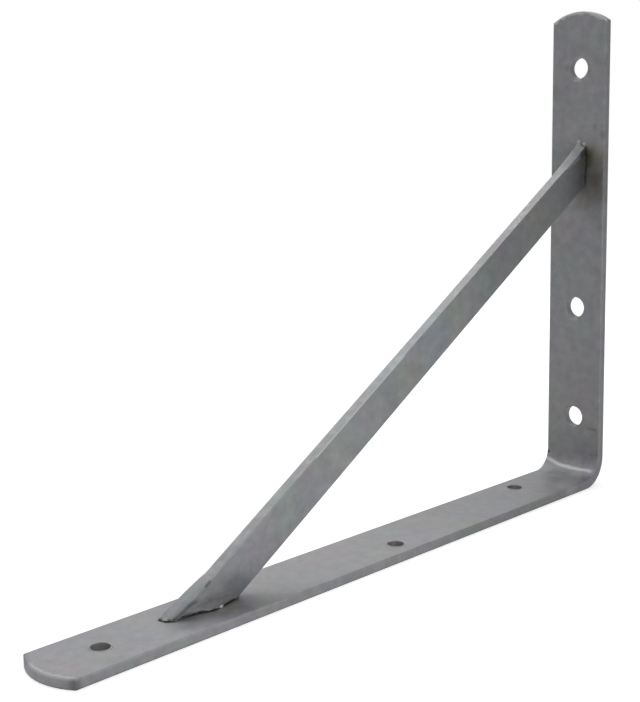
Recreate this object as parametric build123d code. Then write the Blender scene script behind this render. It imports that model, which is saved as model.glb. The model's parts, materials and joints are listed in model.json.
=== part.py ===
from build123d import *

import os
from math import atan2, cos, hypot, sin

# A welded shelf bracket, in millimetres: a flat strip bent to an L, braced by a flat bar on edge.
# X runs out from the wall along the shelf arm, Y runs across the strip and Z runs up the wall arm.
# It is built from its outer heel and moved at the end, so that the origin lies under the middle of the
# shelf arm, halfway across the strip.

# The strip that is bent to an L. Both its ends are cut to a shallow arc.
strip_width = 30.0
strip_thickness = 4.0
strip_edge_radius = 0.6
shelf_arm_length = 320.0
wall_arm_length = 231.0
inside_bend_radius = 10.0
end_arc_rise = 4.8

# Screw holes in the wall arm, on the middle of the strip. The last one is set out from the free end.
wall_hole_diameter = 10.0
wall_heel_hole_height = 32.5
wall_middle_hole_height = 87.5
wall_end_hole_setback = 27.0

# Screw holes in the shelf arm. The two under the brace are staggered to either side of it, so that a
# screwdriver passes beside the brace.
shelf_hole_diameter = 7.0
shelf_heel_hole_reach = 46.0
shelf_middle_hole_reach = 147.0
shelf_end_hole_setback = 25.5
shelf_hole_stagger = 5.5

# The brace. Its setbacks run from the arms' free ends to the corners of its outer edge. It is welded a
# little askew: the shifts take its foot and its head to opposite sides of the middle.
brace_depth = 16.0
brace_thickness = 5.0
brace_edge_radius = 0.5
brace_foot_setback = 56.5
brace_head_setback = 64.5
brace_foot_shift = -1.0
brace_head_shift = 2.2

# The weld beads. The toe is how far a bead runs out on the arm, and the climb how far it runs along the
# brace's outer edge. The leg is what shows on the arm beside the brace, along a joint of a given length.
foot_weld_toe = 4.5
foot_weld_climb = 22.0
foot_weld_leg = 3.4
foot_weld_length = 30.0
head_weld_toe = 2.6
head_weld_climb = 20.0
head_weld_leg = 1.6
head_weld_length = 15.0
weld_overhang = 0.4
weld_edge_radius = 1.2

# The lines of the brace, in its own plane: local X runs from its foot to the wall and local Y runs up.
half_width = strip_width / 2
foot_reach = shelf_arm_length - brace_foot_setback
head_height = wall_arm_length - brace_head_setback
brace_side_run = brace_head_shift - brace_foot_shift
brace_turn = atan2(brace_side_run, foot_reach - strip_thickness)
brace_foot = Vector(0, 0)
brace_head = Vector(
    hypot(foot_reach - strip_thickness, brace_side_run),
    head_height - strip_thickness,
)
brace_plane = Plane(
    origin=(foot_reach, brace_foot_shift, strip_thickness),
    x_dir=(-cos(brace_turn), sin(brace_turn), 0),
    z_dir=(sin(brace_turn), cos(brace_turn), 0),
)
up_the_brace = brace_head.normalized()


def arm_outline(length):
    """One arm seen square on: a strip from the heel to a free end cut to a shallow arc."""
    shoulder = length - end_arc_rise
    heel = ((shoulder, -half_width), (0, -half_width), (0, half_width), (shoulder, half_width))
    arc = ThreePointArc((shoulder, half_width), (length, 0), (shoulder, -half_width))
    return make_face(Polyline(*heel) + arc)


def bent_strip():
    """The strip bent to an L on round corners, its ends cut to arcs and its edges eased."""
    heel = (0, 0)
    corner = (strip_thickness, strip_thickness)
    section = make_face(
        Polyline(
            heel,
            (shelf_arm_length, 0),
            (shelf_arm_length, strip_thickness),
            corner,
            (strip_thickness, wall_arm_length),
            (0, wall_arm_length),
            close=True,
        )
    )
    section = fillet(section.vertices().sort_by_distance(corner)[0], inside_bend_radius)
    section = fillet(section.vertices().sort_by_distance(heel)[0], inside_bend_radius + strip_thickness)
    strip = extrude(Plane.XZ * section, half_width, both=True)
    strip &= extrude(arm_outline(shelf_arm_length), wall_arm_length)
    strip &= extrude(Plane.YZ * Rot(0, 0, 90) * arm_outline(wall_arm_length), shelf_arm_length)
    return fillet(strip.edges() - strip.edges().filter_by(Axis.Y), strip_edge_radius)


def screw_holes():
    """One drill through the strip for each screw hole."""
    drill_length = 2 * strip_thickness
    wall_heights = (
        wall_heel_hole_height,
        wall_middle_hole_height,
        wall_arm_length - wall_end_hole_setback,
    )
    shelf_places = (
        (shelf_heel_hole_reach, -shelf_hole_stagger),
        (shelf_middle_hole_reach, shelf_hole_stagger),
        (shelf_arm_length - shelf_end_hole_setback, 0),
    )
    wall_drill = Rot(0, 90, 0) * Cylinder(wall_hole_diameter / 2, drill_length)
    shelf_drill = Cylinder(shelf_hole_diameter / 2, drill_length)
    drills = [Pos(strip_thickness / 2, 0, height) * wall_drill for height in wall_heights]
    drills += [Pos(reach, side, strip_thickness / 2) * shelf_drill for reach, side in shelf_places]
    return drills


def between_arms(solid):
    """The part of a solid that lies on the inner side of both arms."""
    shelf_arm_top = Plane(origin=(0, 0, strip_thickness), z_dir=(0, 0, 1))
    wall_arm_front = Plane(origin=(strip_thickness, 0, 0), z_dir=(1, 0, 0))
    return split(split(solid, shelf_arm_top, Keep.TOP), wall_arm_front, Keep.TOP)


def eased_bar(start, end, depth, width, edge_radius, spare):
    """A flat bar whose outer edge runs from start to end, and a spare length past each."""
    along = (end - start).normalized()
    inward = along.rotate(Axis.Z, -90)
    section = Plane(origin=start + inward * depth / 2 - along * spare, x_dir=inward, z_dir=along)
    length = (end - start).length + 2 * spare
    return extrude(section * RectangleRounded(depth, width, edge_radius), length)


def brace_bar():
    """The brace, mitred at both ends to lie flat on the arms."""
    bar = eased_bar(brace_foot, brace_head, brace_depth, brace_thickness, brace_edge_radius, 2 * brace_depth)
    return between_arms(brace_plane * bar)


def face_bead(start, end):
    """The bead in the open corner outside the brace. Its face runs from start to end."""
    width = brace_thickness + 2 * weld_overhang
    bead = eased_bar(start, end, brace_depth / 2, width, weld_edge_radius, 0)
    outside_brace = Plane(origin=brace_foot, x_dir=up_the_brace, z_dir=up_the_brace.rotate(Axis.Z, 90))
    return between_arms(brace_plane * split(bead, outside_brace, Keep.TOP))


def joint_bead(middle, along, off_the_arm, leg, length):
    """The bead round both sides of the joint: half an egg, flat on the arm, about the joint's middle."""
    half_length = length / 2
    outline = EllipticalCenterArc((0, 0), half_length, brace_thickness / 2 + leg, 0, arc_size=180)
    outline += Line((-half_length, 0), (half_length, 0))
    joint = Plane(origin=middle, x_dir=along, z_dir=off_the_arm)
    return joint * revolve(make_face(outline), Axis.X, 180)


def foot_weld():
    """The weld between the brace's foot and the shelf arm."""
    toe = brace_foot + Vector(-foot_weld_toe, 0)
    climb = brace_foot + up_the_brace * foot_weld_climb
    middle = brace_plane.origin + brace_plane.x_dir * foot_weld_length / 2
    bead = joint_bead(middle, brace_plane.x_dir, (0, 0, 1), foot_weld_leg, foot_weld_length)
    return face_bead(toe, climb) + bead


def head_weld():
    """The weld between the brace's head and the wall arm."""
    toe = brace_head + Vector(0, head_weld_toe)
    climb = brace_head - up_the_brace * head_weld_climb
    middle = (strip_thickness, brace_head_shift, head_height + head_weld_toe - head_weld_length / 2)
    bead = joint_bead(middle, (0, 0, 1), (1, 0, 0), head_weld_leg, head_weld_length)
    return face_bead(climb, toe) + bead


brace = brace_bar()
pieces = {
    "bent_arms": bent_strip() - screw_holes(),
    "brace": brace,
    "foot_weld": foot_weld() - brace,
    "head_weld": head_weld() - brace,
}
from_heel_to_origin = Pos(-shelf_arm_length / 2, 0, 0)
os.makedirs("parts", exist_ok=True)
for name, piece in pieces.items():
    export_step(from_heel_to_origin * piece, f"parts/{name}.step")
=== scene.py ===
import json
from math import cos, pi, radians, sin
from types import SimpleNamespace

import bmesh
import bpy
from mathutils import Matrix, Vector, noise


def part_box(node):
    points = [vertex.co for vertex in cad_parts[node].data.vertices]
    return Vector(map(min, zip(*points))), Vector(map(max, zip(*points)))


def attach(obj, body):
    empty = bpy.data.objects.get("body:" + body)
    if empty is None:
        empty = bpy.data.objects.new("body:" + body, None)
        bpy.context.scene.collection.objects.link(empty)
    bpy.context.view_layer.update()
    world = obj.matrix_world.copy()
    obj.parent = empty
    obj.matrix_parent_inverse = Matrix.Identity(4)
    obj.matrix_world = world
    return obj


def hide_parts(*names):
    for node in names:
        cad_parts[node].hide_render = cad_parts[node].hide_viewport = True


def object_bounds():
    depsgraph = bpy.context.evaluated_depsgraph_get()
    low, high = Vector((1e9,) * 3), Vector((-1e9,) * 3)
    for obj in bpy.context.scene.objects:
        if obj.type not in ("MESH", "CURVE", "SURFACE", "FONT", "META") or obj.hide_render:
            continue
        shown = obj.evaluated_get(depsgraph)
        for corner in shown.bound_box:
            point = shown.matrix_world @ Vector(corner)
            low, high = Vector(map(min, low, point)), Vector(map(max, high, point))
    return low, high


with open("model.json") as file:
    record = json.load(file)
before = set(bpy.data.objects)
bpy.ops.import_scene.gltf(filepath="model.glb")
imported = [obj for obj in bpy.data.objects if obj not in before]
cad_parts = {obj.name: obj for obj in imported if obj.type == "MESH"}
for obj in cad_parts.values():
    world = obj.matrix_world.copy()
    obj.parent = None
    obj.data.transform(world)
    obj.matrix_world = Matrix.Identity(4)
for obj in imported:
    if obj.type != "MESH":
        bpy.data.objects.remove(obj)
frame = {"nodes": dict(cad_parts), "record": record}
cad_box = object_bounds()

# The bent strip: 30 by 4 mm flat steel, cropped to shallow arcs at both ends, punched and bent cold to an
# L over a press brake's punch. The bracket is zinc plated after welding, in a tumbling barrel, so each
# piece of it wears the same matt grey coat.
millimetre = 0.001
strip_thickness = 4 * millimetre
heel = Vector((cad_box[0][0], 0, 0))
out_from_wall, across, up = Vector((1, 0, 0)), Vector((0, 1, 0)), Vector((0, 0, 1))


def from_heel(x, y, z):
    """A place given in millimetres from the bracket's outer heel."""
    return heel + Vector((x, y, z)) * millimetre


def linear(hex_colour):
    """The linear colour of an sRGB hex value."""
    parts = (int(hex_colour[n:n + 2], 16) / 255 for n in (1, 3, 5))
    return (*(c / 12.92 if c <= 0.04045 else ((c + 0.055) / 1.055) ** 2.4 for c in parts), 1)


def add(tree, kind, settings=(), **inputs):
    """Adds a node with its settings. An input is named by its socket, or by i and its number."""
    node = tree.nodes.new(kind)
    for name, value in dict(settings).items():
        setattr(node, name, value)
    for name, value in inputs.items():
        socket = node.inputs[int(name[1:]) if name[1:].isdigit() else name.replace("_", " ")]
        if isinstance(value, bpy.types.NodeSocket):
            tree.links.new(value, socket)
        else:
            socket.default_value = value
    return node


dot, length = {"operation": "DOT_PRODUCT"}, {"operation": "LENGTH"}
plus, take = {"operation": "ADD"}, {"operation": "SUBTRACT"}
times, times_plus = {"operation": "MULTIPLY"}, {"operation": "MULTIPLY_ADD"}
unsigned = {"operation": "ABSOLUTE"}
smooth = {"interpolation_type": "SMOOTHSTEP"}
glaze = {"data_type": "RGBA", "blend_type": "MULTIPLY"}
cover = {"data_type": "RGBA"}


def plated_steel(name, along, into, dark, light, corner_shade_size, evenness=0.8):
    """Zinc barrel plating on rolled steel: matt and even from a step away, mottled by the tumbling and with
    faint lines along the bar left from its rolling. It scatters light nearly as a paint does, so it is only
    partly metallic. Its edges are lighter, partly rubbed and partly a painted highlight, and its corners
    are darkened with painted shade. Its greys have a faint play of hues in patches, and less of it the
    higher its evenness."""
    material = bpy.data.materials.new(name)
    material.use_nodes = True
    tree = material.node_tree
    shader = tree.nodes["Principled BSDF"]
    place = add(tree, "ShaderNodeTexCoord").outputs["Object"]
    cloud_size, mottle_size, grain_size = 18 * millimetre, 5 * millimetre, 0.9 * millimetre
    mottle_range = {"From_Min": 0.3, "From_Max": 0.7}
    clouds = add(tree, "ShaderNodeTexNoise", Vector=place, Scale=1 / cloud_size, Detail=3).outputs["Color"]
    mottle = add(
        tree, "ShaderNodeTexNoise", Vector=place, Scale=1 / mottle_size, Detail=5, Roughness=0.62
    ).outputs["Fac"]
    greys = add(tree, "ShaderNodeMapRange", Value=mottle, **mottle_range).outputs[0]
    greys = add(tree, "ShaderNodeMix", cover, i0=greys, i6=linear(dark), i7=linear(light)).outputs[2]
    hues = add(tree, "ShaderNodeMix", cover, i0=evenness, i6=clouds, i7=linear("#FFFFFF")).outputs[2]
    colour = add(tree, "ShaderNodeMix", glaze, i0=1, i6=greys, i7=hues).outputs[2]

    # The real lines are a few hundredths of a millimetre apart. That is too fine to show, so they are drawn
    # 0.8 mm apart.
    line_gap, line_length, line_share = 0.8 * millimetre, 30 * millimetre, 0.5
    relief_depth, relief_strength = 0.08 * millimetre, 0.35
    measures = []
    for direction, size in ((along, line_length), (across, line_gap), (into, line_gap)):
        measure = add(tree, "ShaderNodeVectorMath", dot, i0=place, i1=direction / size).outputs["Value"]
        measures.append(measure)
    stretched = add(tree, "ShaderNodeCombineXYZ", i0=measures[0], i1=measures[1], i2=measures[2]).outputs[0]
    lines = add(tree, "ShaderNodeTexNoise", Vector=stretched, Scale=1, Detail=2).outputs["Fac"]
    grain = add(tree, "ShaderNodeTexNoise", Vector=place, Scale=1 / grain_size, Detail=3).outputs["Fac"]
    relief = add(tree, "ShaderNodeMath", times_plus, i0=lines, i1=line_share, i2=grain).outputs[0]
    bump = add(
        tree, "ShaderNodeBump", Height=relief, Strength=relief_strength, Distance=relief_depth
    ).outputs[0]
    roughness = add(
        tree, "ShaderNodeMapRange", Value=mottle, To_Min=0.5, To_Max=0.6, **mottle_range
    ).outputs[0]
    shader.inputs["Metallic"].default_value = 0.5
    tree.links.new(roughness, shader.inputs["Roughness"])
    tree.links.new(bump, shader.inputs["Normal"])

    # The edges are lighter: partly rubbed by the tumbling, partly a painted highlight where the rounded
    # edges catch the light. The high patches get more of it than the low ones.
    rubbed_and_highlight_width, rubbed_and_highlight_share = 1.3 * millimetre, 0.25
    inward = {"samples": 8, "inside": True, "only_local": True}
    edges = add(tree, "ShaderNodeAmbientOcclusion", inward, Distance=rubbed_and_highlight_width).outputs["AO"]
    rubbed_and_highlight = add(tree, "ShaderNodeMapRange", Value=edges, From_Min=0.95, From_Max=0.6).outputs[0]
    for share in (mottle, rubbed_and_highlight_share):
        rubbed_and_highlight = add(tree, "ShaderNodeMath", times, i0=rubbed_and_highlight, i1=share).outputs[0]
    colour = add(tree, "ShaderNodeMix", cover, i0=rubbed_and_highlight, i6=colour, i7=linear("#B4B4B4")).outputs[2]

    # Painted shade: the corners are darkened by occlusion, where shade falls.
    corner_shade_share = 0.8
    corners = add(tree, "ShaderNodeAmbientOcclusion", {"samples": 8}, Distance=corner_shade_size).outputs["Color"]
    colour = add(tree, "ShaderNodeMix", glaze, i0=corner_shade_share, i6=colour, i7=corners).outputs[2]
    return SimpleNamespace(material=material, tree=tree, place=place, colour=colour, shader=shader)


def stain_and_painted_light(coat, centre, full, reach, tint, streak=None, way=glaze):
    """Tints a coat, for real stains and for painted shade and light: wholly up to the full distance from
    its centre, and fading to nothing at its reach, with a ragged edge. A streak runs from the centre both
    ways, as far as its vector. All but the centre are in millimetres."""
    tree = coat.tree
    offset = add(tree, "ShaderNodeVectorMath", take, i0=coat.place, i1=centre).outputs[0]
    if streak:
        streak = streak * millimetre
        part = streak / streak.length_squared
        share = add(tree, "ShaderNodeVectorMath", dot, i0=offset, i1=part).outputs["Value"]
        share = add(tree, "ShaderNodeClamp", Value=share, Min=-1, Max=1).outputs[0]
        run = add(tree, "ShaderNodeVectorMath", {"operation": "SCALE"}, i0=streak, Scale=share).outputs[0]
        offset = add(tree, "ShaderNodeVectorMath", take, i0=offset, i1=run).outputs[0]
    distance = add(tree, "ShaderNodeVectorMath", length, i0=offset).outputs["Value"]
    ragged_size = (0.2 + 0.35 * reach) * millimetre
    ragged = add(
        tree, "ShaderNodeTexNoise", Vector=coat.place, Scale=1 / ragged_size, Detail=3
    ).outputs["Fac"]
    ragged = add(tree, "ShaderNodeMath", times_plus, i0=ragged, i1=ragged_size, i2=distance).outputs[0]
    strength = add(
        tree, "ShaderNodeMapRange", smooth, Value=ragged, To_Min=1, To_Max=0,
        From_Min=full * millimetre + ragged_size / 2, From_Max=reach * millimetre + ragged_size / 2,
    ).outputs[0]
    coat.colour = add(tree, "ShaderNodeMix", way, i0=strength, i6=coat.colour, i7=linear(tint)).outputs[2]


def dress(node, *coats):
    """Gives a CAD node its materials."""
    materials = frame["nodes"][node].data.materials
    materials.clear()
    for coat in coats:
        coat.tree.links.new(coat.colour, coat.shader.inputs["Base Color"])
        materials.append(coat.material)


strip_coat = plated_steel(
    "zinc_plated_strip", out_from_wall - up, Vector(), "#7C7D7F", "#919194", 1 * millimetre
)

# Both ends carry a ragged light band along the arc that the cropping left, on the inner face: a painted
# highlight on the rounded edge. On the shelf arm the band fades out before it gets to the far edge.
arc_rise, half_width = 4.8 * millimetre, cad_box[1][1]
band_width, rag_size, fade = 3.2 * millimetre, 2.5 * millimetre, 2 * millimetre
band_starts, band_full, band_strength = -0.4 * millimetre, 0.7 * millimetre, 0.9
tree = strip_coat.tree
spread = add(tree, "ShaderNodeSeparateXYZ", i0=strip_coat.place).outputs
from_back = add(tree, "ShaderNodeMath", take, i0=spread[0], i1=heel.x).outputs[0]
sag = add(tree, "ShaderNodeMath", {"operation": "POWER"}, i0=spread[1], i1=2).outputs[0]
sag = add(tree, "ShaderNodeMath", times, i0=sag, i1=arc_rise / half_width ** 2).outputs[0]
ragged = add(
    tree, "ShaderNodeTexNoise", Vector=strip_coat.place, Scale=1 / rag_size, Detail=3
).outputs["Fac"]
ragged = add(tree, "ShaderNodeMath", times_plus, i0=ragged, i1=band_width, i2=sag).outputs[0]
for along_arm, through, arm_end, starts_at, arc_highlight_grey in (
    (spread[0], spread[2], cad_box[1][0], -6 * millimetre, "#989898"),
    (spread[2], from_back, cad_box[1][2], -16 * millimetre, "#ABABAB"),
):
    edge = add(tree, "ShaderNodeMath", plus, i0=along_arm, i1=ragged).outputs[0]
    arc_highlight = add(
        tree, "ShaderNodeMapRange", smooth, Value=edge,
        From_Min=arm_end + band_starts, From_Max=arm_end + band_full, To_Max=band_strength,
    ).outputs[0]
    inner = add(
        tree, "ShaderNodeMapRange", Value=through,
        From_Min=strip_thickness - 0.8 * millimetre, From_Max=strip_thickness - 0.3 * millimetre,
    ).outputs[0]
    beside = add(
        tree, "ShaderNodeMapRange", smooth, Value=spread[1],
        From_Min=starts_at - fade, From_Max=starts_at + fade,
    ).outputs[0]
    for share in (inner, beside):
        arc_highlight = add(tree, "ShaderNodeMath", times, i0=arc_highlight, i1=share).outputs[0]
    strip_coat.colour = add(
        tree, "ShaderNodeMix", cover, i0=arc_highlight, i6=strip_coat.colour, i7=linear(arc_highlight_grey)
    ).outputs[2]

# The heat of the head weld has left a bloom on the wall arm beside it, with olive and brown parts. The grey
# and olive tints next to the brace also hold a painted shadow of the brace on the wall arm.
stain_and_painted_light(strip_coat, from_heel(4, 6.5, 152), 4, 16, "#D4D1C8", streak=up * 5)
stain_and_painted_light(strip_coat, from_heel(4, 7, 162), 1, 6, "#E4E4D0")
stain_and_painted_light(strip_coat, from_heel(4, 5.5, 161), 0.5, 4, "#D2D0BC", streak=up * 3)
stain_and_painted_light(strip_coat, from_heel(4, 10.6, 150.5), 1, 5, "#E8DCD4")

# The shelf arm has a small olive bloom at the heel end of the foot weld. Along the seam a light grey is
# painted in as painted light, against the weld's shadow there, and beside the weld's toe lies a painted
# shade.
stain_and_painted_light(strip_coat, from_heel(241.5, 5.8, 4), 0.5, 2.5, "#929290", streak=out_from_wall * 3, way=cover)
stain_and_painted_light(strip_coat, from_heel(241, 5.2, 4), 1, 6, "#EAE8DA")
stain_and_painted_light(strip_coat, from_heel(262, 6, 4), 2, 9, "#DEDEDE")

# Marks from handling on the wall arm: a dark nick at the bend's far edge, a scratch, two rusty specks, two
# light flecks at the head weld's toe, a dull spot by the end hole, and a light scuff under two of the
# holes.
stain_and_painted_light(strip_coat, from_heel(4.2, -14.1, 12.1), 0.4, 1.1, "#747474")
stain_and_painted_light(strip_coat, from_heel(4, 10.9, 27.4), 0.2, 1.2, "#DEDEDE", streak=across * 2)
stain_and_painted_light(strip_coat, from_heel(4, 14, 172), 0.4, 3.0, "#E6DCDC")
stain_and_painted_light(strip_coat, from_heel(4, 9.5, 176), 0.2, 2.2, "#E8E0E0")
stain_and_painted_light(strip_coat, from_heel(4, 0.5, 168.8), 0.3, 1.3, "#A0A09E", way=cover)
stain_and_painted_light(strip_coat, from_heel(4, 3.6, 167.8), 0.3, 1.3, "#A0A09E", way=cover)
stain_and_painted_light(strip_coat, from_heel(4, -6.5, 204.5), 0.3, 2.4, "#E2E2E2")
stain_and_painted_light(strip_coat, from_heel(4, -0.5, 81.4), 0.2, 0.9, "#98989A", streak=across * 1.5, way=cover)
stain_and_painted_light(strip_coat, from_heel(4, -0.5, 198.2), 0.2, 0.9, "#9C9C9C", streak=across * 1.8, way=cover)

# On the shelf arm the near corner of the free end is darker. A painted shade darkens the far corner of
# the free end, against the highlight on its rounded edge, and the far edge toward the heel, which the wall
# arm shades. Two patches before the bend are painted lighter: painted light in the wall arm's shadow.
stain_and_painted_light(strip_coat, from_heel(315.2, 15, 1.6), 0.4, 3.4, "#C8C8C8", streak=up)
stain_and_painted_light(strip_coat, from_heel(316.9, -11.7, 3.4), 0.4, 2.4, "#DCDCDC", streak=Vector((1.3, 2.8, 0)))
stain_and_painted_light(strip_coat, from_heel(55, -15, -20), 22, 60, "#F1F1F1", streak=out_from_wall * 35)
stain_and_painted_light(strip_coat, from_heel(21, 9, 4), 2, 6.5, "#949496", streak=Vector((8, 3, 0)), way=cover)
stain_and_painted_light(strip_coat, from_heel(15, 0, 4), 1, 5, "#929294", streak=across * 2, way=cover)

# The press brake's punch has burnished a light line across the middle of the bend's inner face. It wavers,
# curls down at the far edge and is gone before the near one.
line_core, line_reach, line_strength = 0.2 * millimetre, 2.0 * millimetre, 0.8
waver_size, waver_width, curl_drop = 4 * millimetre, 2.2 * millimetre, 3.8 * millimetre
curl_starts, curl_ends = -3 * millimetre, -17 * millimetre
line_fades, line_gone = 11.5 * millimetre, 14 * millimetre
inner_face_starts = 11 * millimetre
offset = add(tree, "ShaderNodeVectorMath", take, i0=strip_coat.place, i1=heel).outputs[0]
past_middle = add(tree, "ShaderNodeVectorMath", dot, i0=offset, i1=out_from_wall - up).outputs["Value"]
inside = add(tree, "ShaderNodeVectorMath", dot, i0=offset, i1=out_from_wall + up).outputs["Value"]
curl = add(
    tree, "ShaderNodeMapRange", smooth, Value=spread[1],
    From_Min=curl_starts, From_Max=curl_ends, To_Min=0, To_Max=-curl_drop,
).outputs[0]
waver = add(
    tree, "ShaderNodeTexNoise", Vector=strip_coat.place, Scale=1 / waver_size, Detail=3
).outputs["Fac"]
waver = add(tree, "ShaderNodeMath", times_plus, i0=waver, i1=waver_width, i2=-waver_width / 2).outputs[0]
off_line = add(tree, "ShaderNodeMath", take, i0=past_middle, i1=curl).outputs[0]
off_line = add(tree, "ShaderNodeMath", plus, i0=off_line, i1=waver).outputs[0]
off_line = add(tree, "ShaderNodeMath", unsigned, i0=off_line).outputs[0]
burnished = add(
    tree, "ShaderNodeMapRange", smooth, Value=off_line,
    From_Min=line_core, From_Max=line_reach, To_Min=line_strength, To_Max=0,
).outputs[0]
ends_at = add(
    tree, "ShaderNodeMapRange", Value=spread[1],
    From_Min=line_fades, From_Max=line_gone, To_Min=1, To_Max=0,
).outputs[0]
inner_face = add(
    tree, "ShaderNodeMath", {"operation": "GREATER_THAN"}, i0=inside, i1=inner_face_starts
).outputs[0]
for share in (inner_face, ends_at):
    burnished = add(tree, "ShaderNodeMath", times, i0=burnished, i1=share).outputs[0]
strip_coat.colour = add(
    tree, "ShaderNodeMix", cover, i0=burnished, i6=strip_coat.colour, i7=linear("#B4B4B4")
).outputs[2]

# The screw holes are punched. The sheared metal inside them takes less of the plating, so it is a little
# darker.
bore_coat = plated_steel(
    "zinc_plated_bore", out_from_wall - up, Vector(), "#7A7A7C", "#8C8C8F", 1 * millimetre
)
dress("bent_arms", strip_coat, bore_coat)
holes = [mount for mount in frame["record"]["mounts"] if mount["kind"] == "bore"]
for face in frame["nodes"]["bent_arms"].data.polygons:
    for hole in holes:
        offset = face.center - Vector(hole["pos_m"])
        along_bore = offset.dot(Vector(hole["axis"]))
        radius = hole["dims"]["r_mm"] * millimetre
        if offset.length_squared - along_bore ** 2 < radius ** 2:
            face.material_index = 1

# Each hole has a low rolled burr round its rim on the inner face, where the punch went in. The burr is the
# strip's own steel in the strip's coat, its edges lightened like the strip's, partly rubbed and partly
# painted highlight.
burr_width, burr_height = 0.7 * millimetre, 0.22 * millimetre


def closed_loop(name, rings):
    """A mesh round a closed row of equal rings of points."""
    count, size = len(rings), len(rings[0])
    faces = []
    for ring in range(count):
        for point in range(size):
            here, ahead = ring * size, (ring + 1) % count * size
            beside = (point + 1) % size
            faces.append((here + point, ahead + point, ahead + beside, here + beside))
    mesh = bpy.data.meshes.new(name)
    mesh.from_pydata([place for ring in rings for place in ring], [], faces)
    mesh.shade_smooth()
    piece = bpy.data.objects.new(name, mesh)
    bpy.context.scene.collection.objects.link(piece)
    return piece


def burr(hole):
    """The burr round one screw hole, uneven on its way round."""
    radius = hole["dims"]["r_mm"] * millimetre
    inward = Vector(hole["axis"]) * -1
    middle = Vector(hole["pos_m"]) + inward * strip_thickness / 2
    first, second = across, inward.cross(across)
    steps, profile_steps, lump_size = 72, 10, 2.5 * millimetre
    usual_height, unevenness, least_height = 0.75, 0.9, 0.1
    rings = []
    for step in range(steps):
        turn = 2 * pi * step / steps
        outward = first * cos(turn) + second * sin(turn)
        uneven = unevenness * noise.noise((middle + outward * radius) / lump_size)
        height = burr_height * max(usual_height + uneven, least_height)
        ring = []
        for profile_step in range(profile_steps):
            lean = 2 * pi * profile_step / profile_steps
            reach = radius + burr_width / 2 * (1.1 + cos(lean))
            ring.append(middle + outward * reach + inward * height * sin(lean))
        rings.append(ring)
    piece = closed_loop(f"{hole['name']}_burr", rings)
    piece.data.materials.append(strip_coat.material)
    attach(piece, "root")


for hole in holes:
    burr(hole)

# The brace: 16 by 5 mm flat steel bar, sawn to a mitre at both ends and welded in on edge, a little askew
# across the strip. It wears the same plating, with a stronger play of hues on its broad sides.
brace_low, brace_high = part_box("brace")
brace_thickness = 5 * millimetre
brace_foot = Vector((brace_high.x, brace_low.y + brace_thickness / 2, brace_low.z))
brace_head = Vector((brace_low.x, brace_high.y - brace_thickness / 2, brace_high.z))
up_the_brace = (brace_head - brace_foot).normalized()
brace_side = up.cross(up_the_brace).normalized() * -1
into_the_brace = up_the_brace.cross(brace_side).normalized()
along_the_arm = Vector((up_the_brace.x, up_the_brace.y, 0)).normalized()


def on_the_brace(along, into, out):
    """A place on the brace, in millimetres: along it from its foot, into it from its outer edge, and out to
    its near side."""
    return brace_foot + (up_the_brace * along + into_the_brace * into + brace_side * out) * millimetre


brace_coat = plated_steel(
    "zinc_plated_brace", up_the_brace, into_the_brace, "#828486", "#96999B", 1 * millimetre, evenness=0.7
)

# Its upper half is a little darker, a painted shade where the light falls off up the brace, and the heat of
# the head weld has left the end there duller still. A grey patch lies above the foot weld, and the joint
# there is dirty.
brace_length = (brace_head - brace_foot).length / millimetre
stain_and_painted_light(brace_coat, on_the_brace(248, 8, 0), 26, 60, "#E7E7E5")
stain_and_painted_light(brace_coat, on_the_brace(brace_length, 13, 0), 4, 34, "#C0BFB9")
stain_and_painted_light(brace_coat, on_the_brace(brace_length, 9, 0), 1, 12, "#C6C4BA")
stain_and_painted_light(brace_coat, on_the_brace(27, 13, 0), 3, 11, "#D8D8D6")
foot_joint = brace_foot + (along_the_arm * 12 + up) * millimetre
stain_and_painted_light(brace_coat, foot_joint, 2, 5.5, "#C8C8C4", streak=along_the_arm * 8)

# The near corner of its outer edge has a nick above the foot weld. Further up it is lighter: rubbed bright,
# and a painted highlight along the rounded corner.
near_face = brace_thickness / 2 / millimetre
nick = on_the_brace(18.5, 0.4, near_face)
stain_and_painted_light(brace_coat, nick, 0.2, 0.8, "#B8B8B8", streak=up_the_brace * 1.2)
stain_and_painted_light(brace_coat, on_the_brace(117, 0, near_face), 0.1, 0.6, "#B4B4B4", streak=up_the_brace * 31, way=cover)

# Its outer edge is lighter, in flecks: partly rubbed by the tumbling, partly a painted highlight where it
# faces the lamps. The painted highlight grows towards its head.
fleck_size, fleck_strength = 4 * millimetre, 0.32
head_highlight_from, head_highlight_full_from, head_highlight_strength = 60 * millimetre, 150 * millimetre, 0.24
tree = brace_coat.tree
facing = add(tree, "ShaderNodeTexCoord").outputs["Normal"]
facing = add(tree, "ShaderNodeVectorMath", dot, i0=facing, i1=-into_the_brace).outputs["Value"]
outer = add(tree, "ShaderNodeMapRange", smooth, Value=facing, From_Min=0.7, From_Max=0.95).outputs[0]
flecks = add(
    tree, "ShaderNodeTexNoise", Vector=brace_coat.place, Scale=1 / fleck_size, Detail=4
).outputs["Fac"]
flecks = add(
    tree, "ShaderNodeMapRange", smooth, Value=flecks, From_Min=0.4, From_Max=0.75, To_Max=fleck_strength
).outputs[0]
height = add(tree, "ShaderNodeSeparateXYZ", i0=brace_coat.place).outputs[2]
head_highlight = add(
    tree, "ShaderNodeMapRange", smooth, Value=height,
    From_Min=head_highlight_from, From_Max=head_highlight_full_from, To_Max=head_highlight_strength,
).outputs[0]
flecks = add(tree, "ShaderNodeMath", plus, i0=flecks, i1=head_highlight).outputs[0]
flecks = add(tree, "ShaderNodeMath", times, i0=flecks, i1=outer).outputs[0]
brace_coat.colour = add(
    tree, "ShaderNodeMix", cover, i0=flecks, i6=brace_coat.colour, i7=linear("#AFAFB0")
).outputs[2]
dress("brace", brace_coat)

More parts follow.
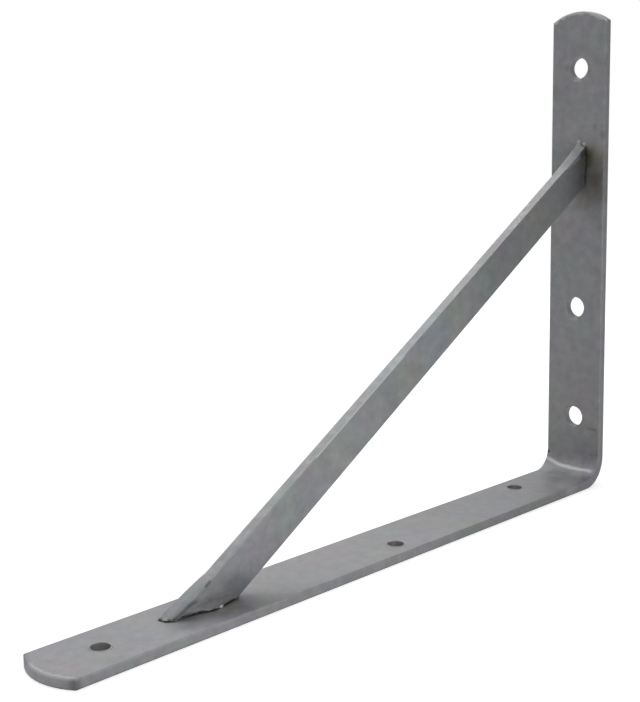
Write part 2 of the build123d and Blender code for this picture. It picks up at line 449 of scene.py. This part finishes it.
# The foot weld: weld metal run over the brace's outer edge to a toe on the shelf arm, and down both of its
# sides to a ragged seam. There it has rolled over without wetting the arm, which leaves a dark line.
weld_coat = plated_steel(
    "zinc_plated_weld", up_the_brace, into_the_brace, "#7B7D7F", "#909194", 3 * millimetre
)


def loft(mesh, rings):
    """Adds a closed skin over a row of equal rings of points."""
    rows = [[mesh.verts.new(place) for place in ring] for ring in rings]
    size = len(rows[0])
    for here, ahead in zip(rows, rows[1:]):
        for point in range(size):
            beside = (point + 1) % size
            mesh.faces.new((here[point], ahead[point], ahead[beside], here[beside]))
    mesh.faces.new(rows[0])
    mesh.faces.new(reversed(rows[-1]))


def ramp_rings(origin, run, off_the_arm, lip, reach, steepness, fullness, toes):
    """The ramp over the brace's outer edge, in slices across it. Each toe is a place across the brace and
    how far the metal runs out on the arm there, in millimetres. Further up it narrows to a hair more than
    half the brace on either side. It is hollow or full by its fullness."""
    rings = []
    ramp_steps, narrow_over, half_brace = 14, 5, 2.56
    buried, underside_end, toe_thickness = 2, 4, 0.7
    top = reach * steepness
    for toe_number, (side, toe) in enumerate(toes):
        raised = lip if toe_number in (0, len(toes) - 1) else 0
        outline = [(reach, top - buried), (underside_end, 0), (toe_thickness - toe, raised)]
        bend = Vector((reach - toe, top + lip)) / 2 * fullness
        for ramp_step in range(ramp_steps + 1):
            t = ramp_step / ramp_steps
            place = Vector((-toe, lip)) * (1 - t) ** 2 + bend * 2 * t * (1 - t)
            place += Vector((reach, top)) * t ** 2
            outline.append(place[:])
        ring = []
        for distance, height in outline:
            narrowed = min(max((distance + toe) / (narrow_over + toe), 0), 1)
            out = side + (min(max(side, -half_brace), half_brace) - side) * narrowed
            ring.append(origin + (run * distance + off_the_arm * height + brace_side * out) * millimetre)
        rings.append(ring)
    return rings


def skirt_rings(origin, run, off_the_arm, hand, rows):
    """The weld metal down one side: a skirt that leaves the brace's side smoothly and ends in a lip over a
    narrow gap. Each row is a distance along the joint, a leg on the arm, a height and the gap, in
    millimetres."""
    rings = []
    skirt_steps, buried, lip_thickness, lip_front = 10, 1.0, 0.6, 0.1
    for distance, leg, height, gap in rows:
        foot = origin + run * distance * millimetre + brace_side * hand * brace_thickness / 2
        outline = [(-buried, height), (-buried, 0), (leg - lip_thickness, 0), (leg - lip_front, gap)]
        for skirt_step in range(1, skirt_steps + 1):
            t = skirt_step / skirt_steps
            outline.append((leg * (1 + cos(pi * t)) / 2, gap + (height - gap) * t))
        ring = []
        for out, rise in outline:
            ring.append(foot + (brace_side * hand * out + off_the_arm * rise) * millimetre)
        rings.append(ring)
    return rings


def weld(name, origin, run, off_the_arm, skirts, **ramp):
    """Weld metal round one joint, which starts at the origin and goes along the run. The parts of it are
    fused, flow into one another, and are a little lumpy and torn along the arm."""
    mesh = bmesh.new()
    loft(mesh, ramp_rings(origin, run, off_the_arm, **ramp))
    for hand, rows in skirts:
        loft(mesh, skirt_rings(origin, run, off_the_arm, hand, rows))
    bmesh.ops.recalc_face_normals(mesh, faces=mesh.faces)
    skin = bpy.data.meshes.new(name)
    mesh.to_mesh(skin)
    mesh.free()
    rough = bpy.data.objects.new(name + "_rough", skin)
    bpy.context.scene.collection.objects.link(rough)
    fused = rough.modifiers.new("fused", "REMESH")
    fused.mode = "VOXEL"
    fused.voxel_size = 0.2 * millimetre
    flowed = rough.modifiers.new("flowed", "SMOOTH")
    flowed.iterations = 4
    skin = bpy.data.meshes.new_from_object(rough.evaluated_get(bpy.context.evaluated_depsgraph_get()))
    bpy.data.objects.remove(rough)

    # Sizes and rises of the lumps, the ripples on them and the tears along the arm, in millimetres.
    lump_size, ripple_size, tear_size = 2.4, 0.9, 1.4
    lump_rise, ripple_rise, tear_rise = 0.2, 0.07, 0.4
    calm_from, least_share, torn_up_to = 7, 0.15, 1.6
    normals = [vertex.normal.copy() for vertex in skin.vertices]
    for vertex, normal in zip(skin.vertices, normals):
        height = (vertex.co - origin).dot(off_the_arm) / millimetre
        lumps = noise.noise(vertex.co / (lump_size * millimetre)) * lump_rise
        lumps += noise.noise(vertex.co / (ripple_size * millimetre)) * ripple_rise
        lumps *= max(1 - height / calm_from, least_share)
        tears = noise.noise(vertex.co / (tear_size * millimetre)) * tear_rise
        lumps += tears * max(1 - height / torn_up_to, 0)
        vertex.co += normal * lumps * millimetre
    skin.shade_smooth()
    skin.name = name
    skin.materials.append(weld_coat.material)
    piece = bpy.data.objects.new(name, skin)
    bpy.context.scene.collection.objects.link(piece)
    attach(piece, "root")
    return piece


toes = ((-3.4, 2.4), (-2.8, 3.3), (-1.2, 3.2), (0.7, 2.7), (1.8, 1.6), (2.6, 0.5))
near_skirt = (
    (0.3, 0.1, 0.6, 0.4), (3.5, 0.2, 2.0, 0.5), (6.7, 0.5, 3.8, 0.4), (10.6, 1.5, 4.4, 0.5),
    (14.5, 2.8, 4.3, 0.3), (18.3, 3.1, 4.1, 0.4), (20.3, 2.9, 4.1, 0.2), (24.1, 1.7, 4.1, 0.4),
    (27.5, 0.9, 3.6, 0.5), (30.6, 0.3, 2.5, 0.2),
)
far_skirt = (
    (0.3, 0.1, 0.6, 0.4), (4.0, 0.4, 2.2, 0.4), (8.0, 1.6, 4.4, 0.3), (12.5, 2.6, 4.6, 0.5),
    (16.5, 2.3, 4.6, 0.4), (20.5, 2.8, 4.4, 0.3), (25.0, 1.9, 4.2, 0.4), (28.0, 0.8, 3.4, 0.4),
    (30.6, 0.3, 2.5, 0.2),
)
steepness = up_the_brace.dot(up) / up_the_brace.dot(along_the_arm)
foot_bead = weld(
    "foot_weld_bead", brace_foot, along_the_arm, up, ((1, near_skirt), (-1, far_skirt)),
    lip=0.4, reach=18.5, steepness=steepness, fullness=1.35, toes=toes,
)
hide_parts("foot_weld")

# The head weld: a smaller bead of the same kind between the brace's head and the wall arm. Its ramp is
# hollow, and its metal stays close to the brace.
toes = ((-3.0, 0.9), (-2.4, 1.7), (-1.2, 1.6), (0, 1.1), (1.6, 0.5), (2.6, 0.2))
near_skirt = (
    (0.2, 0.1, 0.8, 0), (2.0, 0.3, 1.2, 0), (6.0, 0.5, 1.6, 0), (9.5, 0.5, 1.8, 0.4),
    (14.0, 0.3, 1.8, 0.5), (18.0, 0.1, 1.2, 0.2),
)
far_skirt = (
    (0.2, 0.1, 0.8, 0), (2.5, 0.8, 1.8, 0), (7.0, 1.3, 2.4, 0.1), (12.0, 0.6, 2.0, 0.3),
    (17.5, 0.1, 1.2, 0.2),
)
head_bead = weld(
    "head_weld_bead", brace_head, -up, out_from_wall, ((1, near_skirt), (-1, far_skirt)),
    lip=0, reach=11, steepness=1 / steepness, fullness=0.45, toes=toes,
)
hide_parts("head_weld")

# The sides of both beads are darker near the arms; their ramps are not.
tree = weld_coat.tree
facing = add(tree, "ShaderNodeTexCoord").outputs["Normal"]
facing = add(tree, "ShaderNodeVectorMath", dot, i0=facing, i1=brace_side).outputs["Value"]
facing = add(tree, "ShaderNodeMath", unsigned, i0=facing).outputs[0]
sides = add(tree, "ShaderNodeMapRange", smooth, Value=facing, From_Min=0.4, From_Max=0.8).outputs[0]
spread = add(tree, "ShaderNodeSeparateXYZ", i0=weld_coat.place).outputs
from_back = add(tree, "ShaderNodeMath", take, i0=spread[0], i1=heel.x).outputs[0]
off_the_back = add(tree, "ShaderNodeMath", {"operation": "MINIMUM"}, i0=from_back, i1=spread[2]).outputs[0]
low_down = add(
    tree, "ShaderNodeMapRange", smooth, Value=off_the_back, To_Min=1, To_Max=0,
    From_Min=strip_thickness + 4 * millimetre, From_Max=strip_thickness + 6 * millimetre,
).outputs[0]
sides = add(tree, "ShaderNodeMath", times, i0=sides, i1=low_down).outputs[0]
weld_coat.colour = add(
    tree, "ShaderNodeMix", glaze, i0=sides, i6=weld_coat.colour, i7=linear("#C2C2BE")
).outputs[2]

# Burnt dirt sits in specks along the seams.
speck_size = 1.7 * millimetre
specks = add(
    tree, "ShaderNodeTexNoise", Vector=weld_coat.place, Scale=1 / speck_size, Detail=2
).outputs["Fac"]
specks = add(tree, "ShaderNodeMapRange", smooth, Value=specks, From_Min=0.47, From_Max=0.54).outputs[0]
by_the_seam = add(
    tree, "ShaderNodeMapRange", smooth, Value=off_the_back, To_Min=1, To_Max=0,
    From_Min=strip_thickness + 0.5 * millimetre, From_Max=strip_thickness + 1.3 * millimetre,
).outputs[0]
specks = add(tree, "ShaderNodeMath", times, i0=specks, i1=by_the_seam).outputs[0]
weld_coat.colour = add(
    tree, "ShaderNodeMix", glaze, i0=specks, i6=weld_coat.colour, i7=linear("#8C8A84")
).outputs[2]

# The head weld's near side is the dullest. A small light spot on the foot weld's lip is a painted glint,
# and the nick in the brace's corner runs on into the ramp.
head_side = brace_head + (brace_side * 5 - up * 12) * millimetre
stain_and_painted_light(weld_coat, head_side, 1, 7, "#B4B2A8", streak=up * 6)
stain_and_painted_light(weld_coat, from_heel(242.9, 5.0, 4.3), 0.6, 1.3, "#B8B8B8", streak=along_the_arm * 0.8, way=cover)
stain_and_painted_light(weld_coat, nick, 0.2, 0.8, "#B8B8B8", streak=up_the_brace * 1.2)
tree.links.new(weld_coat.colour, weld_coat.shader.inputs["Base Color"])

# The floor: a plain sheet of matt white paper under the bracket, so wide that its edge is never seen.
floor_reach = 4.0
corners = [(x * floor_reach, y * floor_reach, 0) for x, y in ((-1, -1), (1, -1), (1, 1), (-1, 1))]
floor_mesh = bpy.data.meshes.new("floor")
floor_mesh.from_pydata(corners, [], [range(4)])
floor = bpy.data.objects.new("floor", floor_mesh)
bpy.context.scene.collection.objects.link(floor)


def seen_directly(tree):
    """1 for the rays that see a background: from the camera, in a gloss or through glass."""
    path = add(tree, "ShaderNodeLightPath").outputs
    clamped = {"operation": "ADD", "use_clamp": True}
    seen = path["Is Camera Ray"]
    for other in ("Is Glossy Ray", "Is Transmission Ray"):
        seen = add(tree, "ShaderNodeMath", clamped, i0=seen, i1=path[other]).outputs[0]
    return seen


paper = bpy.data.materials.new("white_paper")
paper.use_nodes = True
floor_mesh.materials.append(paper)
tree = paper.node_tree
shader = tree.nodes["Principled BSDF"]
shader.inputs["Base Color"].default_value = linear("#E7E7E7")
shader.inputs["Roughness"].default_value = 1
shader.inputs["Specular IOR Level"].default_value = 0
shader.inputs["Emission Color"].default_value = linear("#FFFFFF")

# It glows where the lamps no longer reach it, so it is white as far as it goes. Near the bracket it glows
# less, and keeps the bracket's shadow.
near_glow, far_glow, lamps_fade, lamps_gone = 0.72, 1.0, 0.25, 0.8
place = add(tree, "ShaderNodeTexCoord").outputs["Object"]
distance = add(tree, "ShaderNodeVectorMath", length, i0=place).outputs["Value"]
glow = add(
    tree, "ShaderNodeMapRange", Value=distance,
    From_Min=lamps_fade, From_Max=lamps_gone, To_Min=near_glow, To_Max=far_glow,
).outputs[0]
glow = add(tree, "ShaderNodeMath", times, i0=seen_directly(tree), i1=glow).outputs[0]
tree.links.new(glow, shader.inputs["Emission Strength"])

# The room: white where it is seen, and dark beside the lamps for what it lights.
world = bpy.data.worlds.new("studio")
bpy.context.scene.world = world
world.use_nodes = True
tree = world.node_tree
tree.nodes["Background"].inputs["Color"].default_value = linear("#FFFFFF")
room_light = 0.02
room = add(
    tree, "ShaderNodeMath", {"operation": "MAXIMUM"}, i0=seen_directly(tree), i1=room_light
).outputs[0]
tree.links.new(room, tree.nodes["Background"].inputs["Strength"])

# The lamps: round softboxes. The main ones stand behind the bracket and above it, so the faces turned to
# the camera are in half shade. Two small ones low down lift its near side and its free end a little.
lamp_aim = Vector((0.02, 0, 0.09))
for name, where, size, watts in (
    ("back_lamp", (-0.05, -0.55, 0.65), 0.6, 1.95),
    ("back_right_lamp", (-0.50, -0.45, 0.60), 0.6, 1.45),
    ("top_lamp", (0, 0, 0.90), 0.6, 1.5),
    ("low_front_lamp", (0.07, 0.22, 0.045), 0.15, 0.315),
    ("end_lamp", (0.28, -0.04, 0.025), 0.08, 0.068),
):
    lamp_data = bpy.data.lights.new(name, "AREA")
    lamp_data.shape = "DISK"
    lamp_data.size = size
    lamp_data.energy = watts
    lamp = bpy.data.objects.new(name, lamp_data)
    lamp.location = where
    lamp.visible_camera = False
    lamp.rotation_euler = (lamp_aim - lamp.location).to_track_quat("-Z", "Y").to_euler()
    bpy.context.scene.collection.objects.link(lamp)

# The camera stands beside the free end, a little above the bracket, as in the photograph.
photo_height = 702
sensor_size = 36
focal_length_pixels = 1274.5
photo_middle = (320, 351)
lens_axis_pixel = (327.4, 286.3)
camera_data = bpy.data.cameras.new("camera")
camera_data.sensor_width = sensor_size
camera_data.lens = focal_length_pixels * sensor_size / photo_height
camera_data.shift_x = (photo_middle[0] - lens_axis_pixel[0]) / photo_height
camera_data.shift_y = (lens_axis_pixel[1] - photo_middle[1]) / photo_height
camera_data.clip_start = 0.01
camera = bpy.data.objects.new("camera", camera_data)
camera.location = (0.3794, 0.3415, 0.1807)
camera.rotation_euler = [radians(angle) for angle in (82.539, 0.541, 133.565)]
bpy.context.scene.collection.objects.link(camera)
bpy.context.scene.camera = camera
bpy.context.scene.view_settings.view_transform = "Standard"
